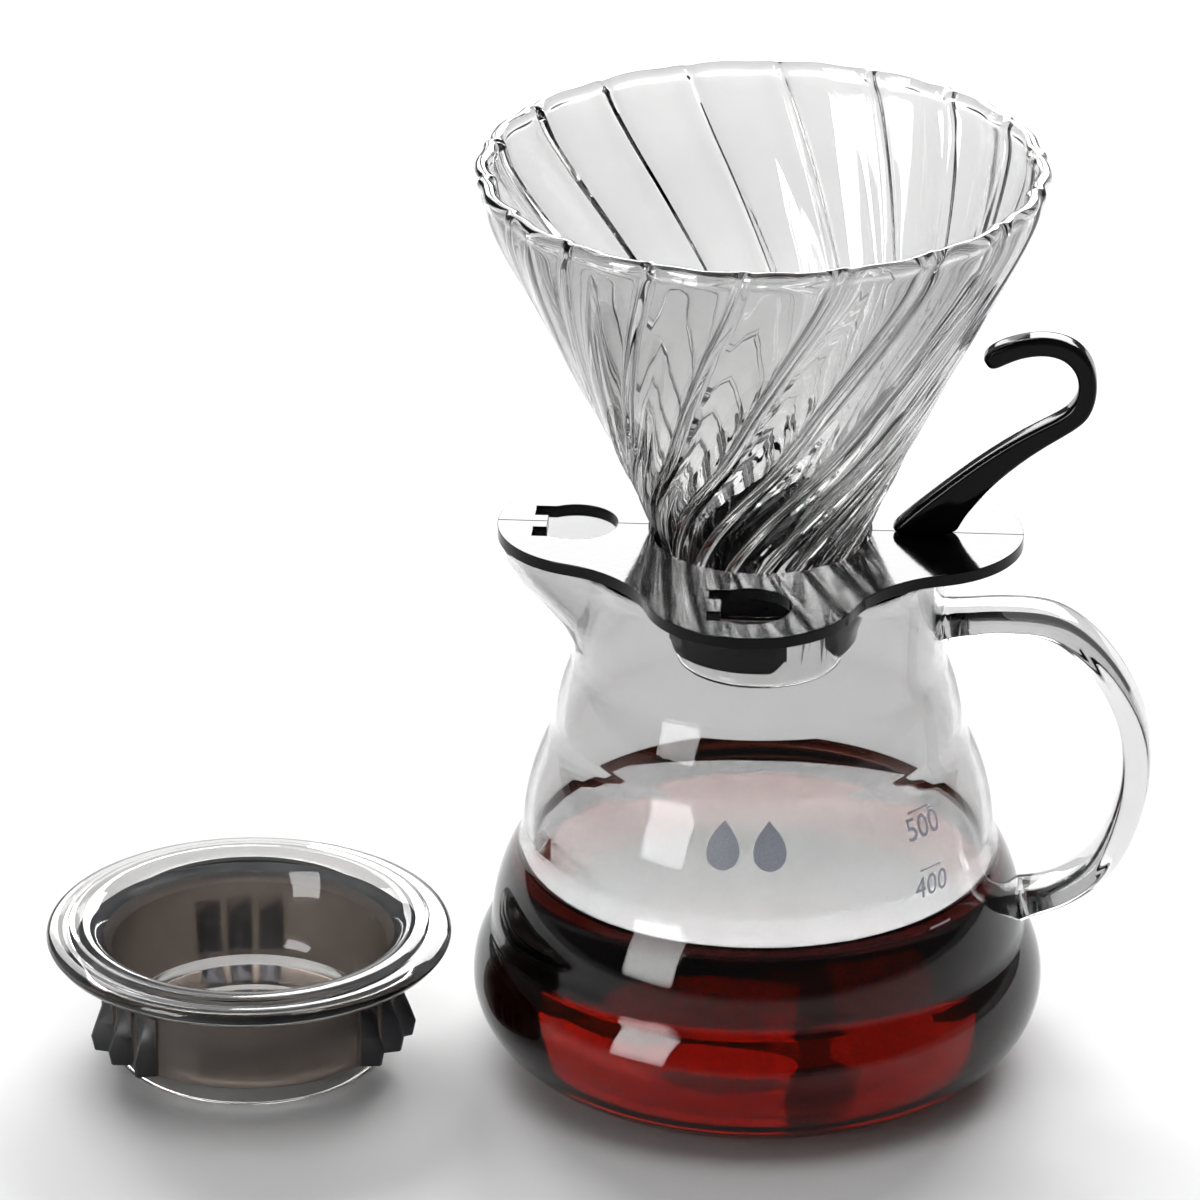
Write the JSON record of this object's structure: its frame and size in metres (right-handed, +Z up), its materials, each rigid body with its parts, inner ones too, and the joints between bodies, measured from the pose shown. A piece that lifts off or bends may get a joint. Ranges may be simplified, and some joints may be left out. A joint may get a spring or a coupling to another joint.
{
  "type": "pour over coffee dripper set",
  "caption": "Ribbed glass filter cone in a lobed black holder with a hook handle, on a bulged glass server with a strap handle, and the server's lid beside it.",
  "frame": {"origin": "centre of the server's base, on the table", "axes": "+Z up, +X from the server's axis towards both handles, -Y towards the front with the printed symbol"},
  "size_m": [0.2299, 0.119, 0.199],
  "materials": {
    "clear_glass": "clear blown borosilicate glass, polished",
    "cone_glass": "clear pressed borosilicate glass, polished",
    "black_plastic": "glossy black moulded polypropylene",
    "smoke_rubber": "smoky grey-black silicone, satin"
  },
  "bodies": {
    "server": {"server_glass": "clear_glass", "server_handle": "clear_glass"},
    "holder": {"holder_plate": "black_plastic", "holder_collar": "black_plastic", "hook_handle": "black_plastic"},
    "cone": {"cone_glass": "cone_glass"},
    "lid": {"lid_glass": "clear_glass", "lid_band": "smoke_rubber"}
  },
  "joints": [
    {"name": "holder_lift", "type": "slide", "parent": "server", "child": "holder", "axis": [0, 0, 1], "range_m": [0, 0.12]},
    {"name": "cone_lift", "type": "slide", "parent": "holder", "child": "cone", "axis": [0, 0, 1], "range_m": [0, 0.12]},
    {"name": "lid_lift", "type": "slide", "parent": "server", "child": "lid", "axis": [0, 0, 1], "range_m": [0, 0.12]}
  ]
}
